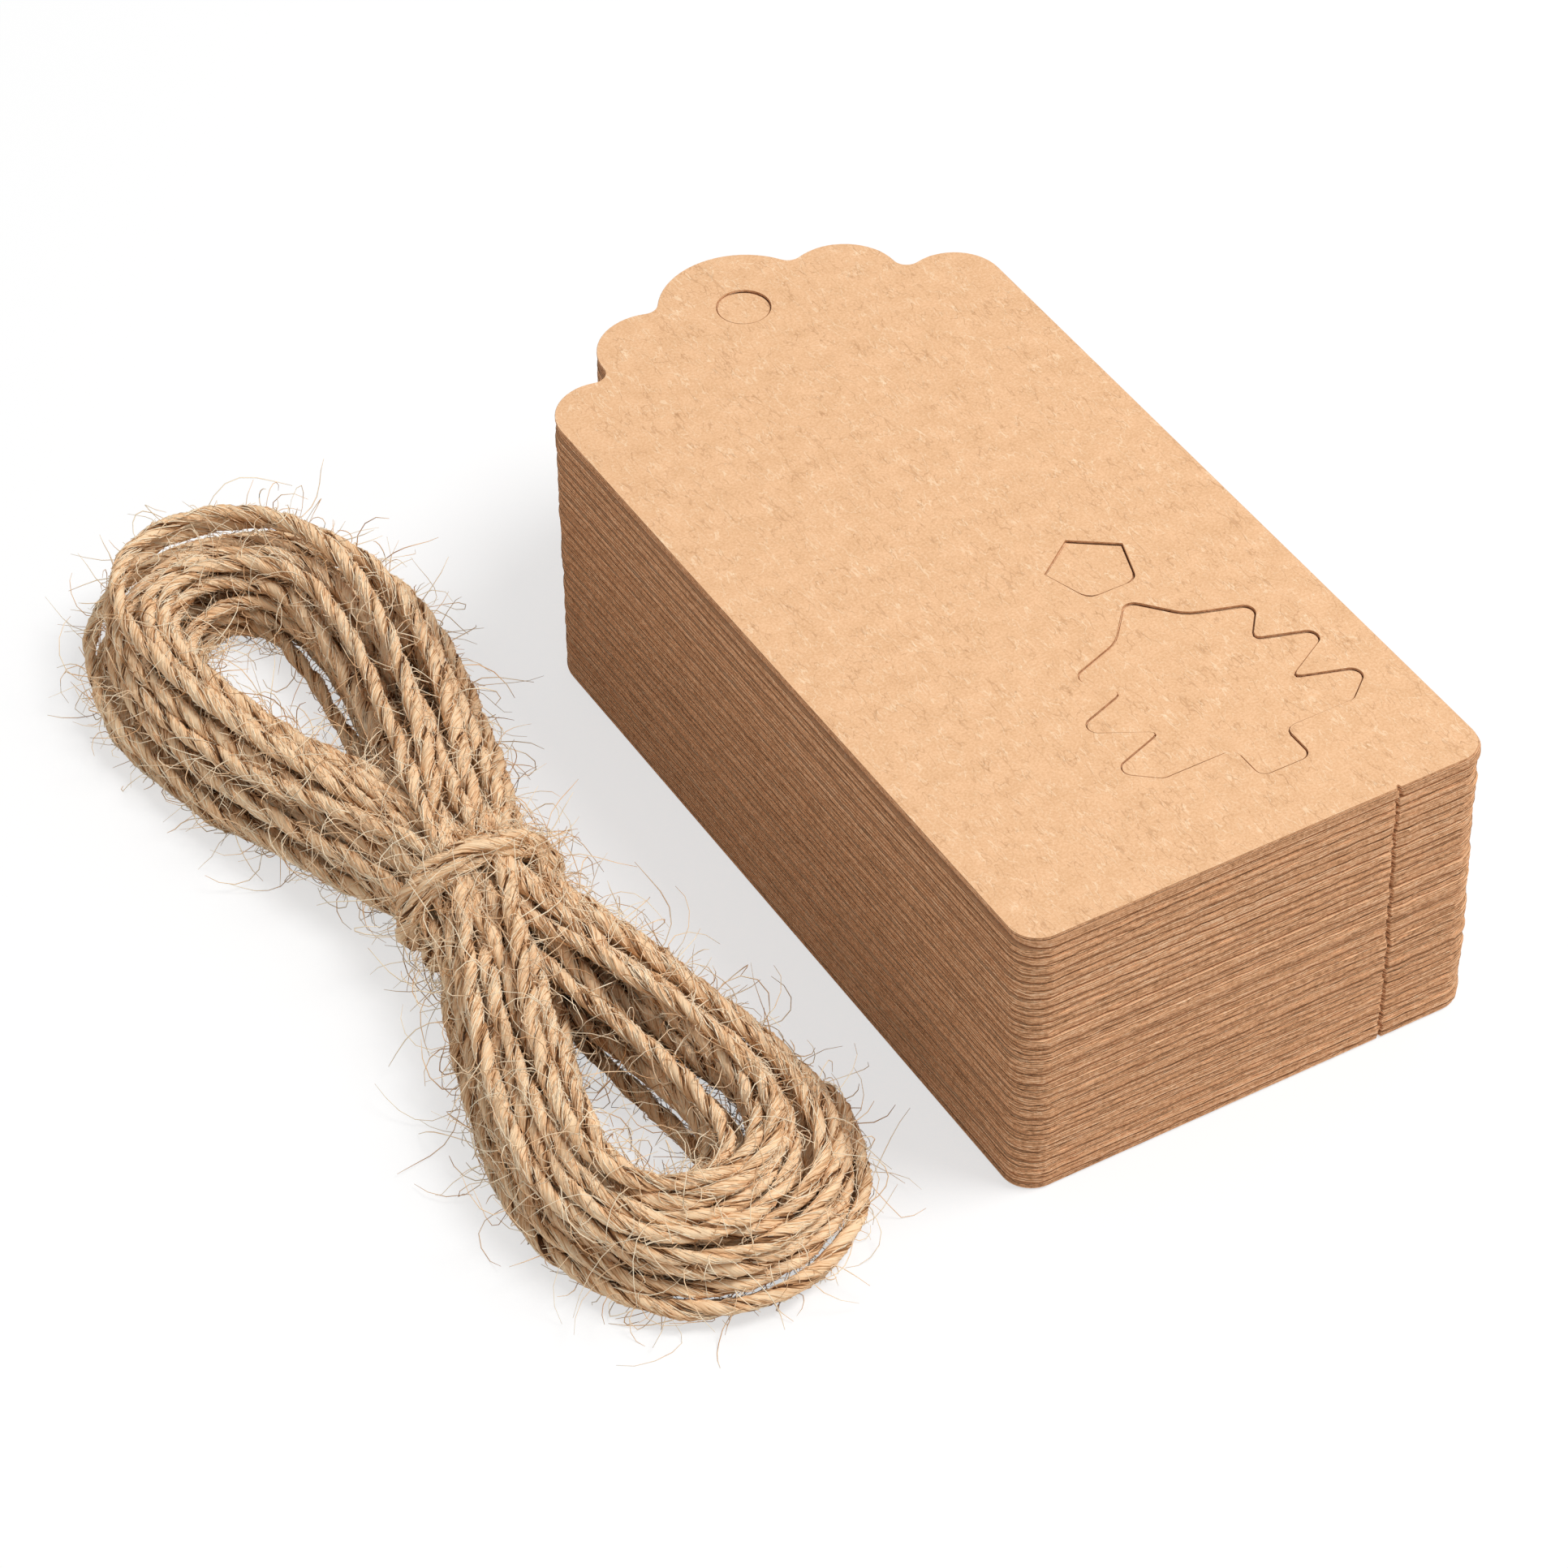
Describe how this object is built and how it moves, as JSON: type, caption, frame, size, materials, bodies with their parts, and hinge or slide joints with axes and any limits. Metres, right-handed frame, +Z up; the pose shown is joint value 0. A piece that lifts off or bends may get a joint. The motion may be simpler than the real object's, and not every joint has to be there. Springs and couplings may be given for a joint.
{
  "type": "pack of gift tags with twine",
  "caption": "Stack of scalloped card gift tags, each with a punched string hole and two pop-out shapes, beside a tied hank of jute twine.",
  "frame": {"origin": "middle of the stack's underside, where the bottom tag lies on the table", "axes": "+X across the tags, +Y along them to the scalloped end with the hole, +Z up; the hank lies on the -X side"},
  "size_m": [0.0917, 0.1195, 0.032],
  "materials": {
    "kraft_card": "uncoated brown card, faintly speckled",
    "jute": "hairy two-ply jute twine"
  },
  "bodies": {
    "stack": {"tag_96": "kraft_card", "tag_97": "kraft_card", "tag_98": "kraft_card", "tag_99": "kraft_card", "tags_01_to_05": "kraft_card", "tags_06_to_10": "kraft_card", "tags_11_to_15": "kraft_card", "tags_16_to_20": "kraft_card", "tags_21_to_25": "kraft_card", "tags_26_to_30": "kraft_card", "tags_31_to_35": "kraft_card", "tags_36_to_40": "kraft_card", "tags_41_to_45": "kraft_card", "tags_46_to_50": "kraft_card", "tags_51_to_55": "kraft_card", "tags_56_to_60": "kraft_card", "tags_61_to_65": "kraft_card", "tags_66_to_70": "kraft_card", "tags_71_to_75": "kraft_card", "tags_76_to_80": "kraft_card", "tags_81_to_85": "kraft_card", "tags_86_to_90": "kraft_card", "tags_91_to_95": "kraft_card"},
    "top_tag": {"top_tag": "kraft_card"},
    "hole_disc": {"top_hole_disc": "kraft_card"},
    "star": {"top_star": "kraft_card"},
    "tree": {"top_tree": "kraft_card"},
    "twine": {"twine_hank": "jute", "twine_tie": "jute"}
  },
  "joints": [
    {"name": "top_tag_lift", "type": "slide", "parent": "stack", "child": "top_tag", "axis": [0, 0, 1], "range_m": [0, 0.04]},
    {"name": "hole_disc_push", "type": "slide", "parent": "top_tag", "child": "hole_disc", "axis": [0, 0, 1], "range_m": [0, 0.006]},
    {"name": "star_push", "type": "slide", "parent": "top_tag", "child": "star", "axis": [0, 0, 1], "range_m": [0, 0.01]},
    {"name": "tree_push", "type": "slide", "parent": "top_tag", "child": "tree", "axis": [0, 0, 1], "range_m": [0, 0.014]},
    {"name": "twine_lift", "type": "slide", "parent": "stack", "child": "twine", "axis": [0, 0, 1], "range_m": [0, 0.06]}
  ]
}
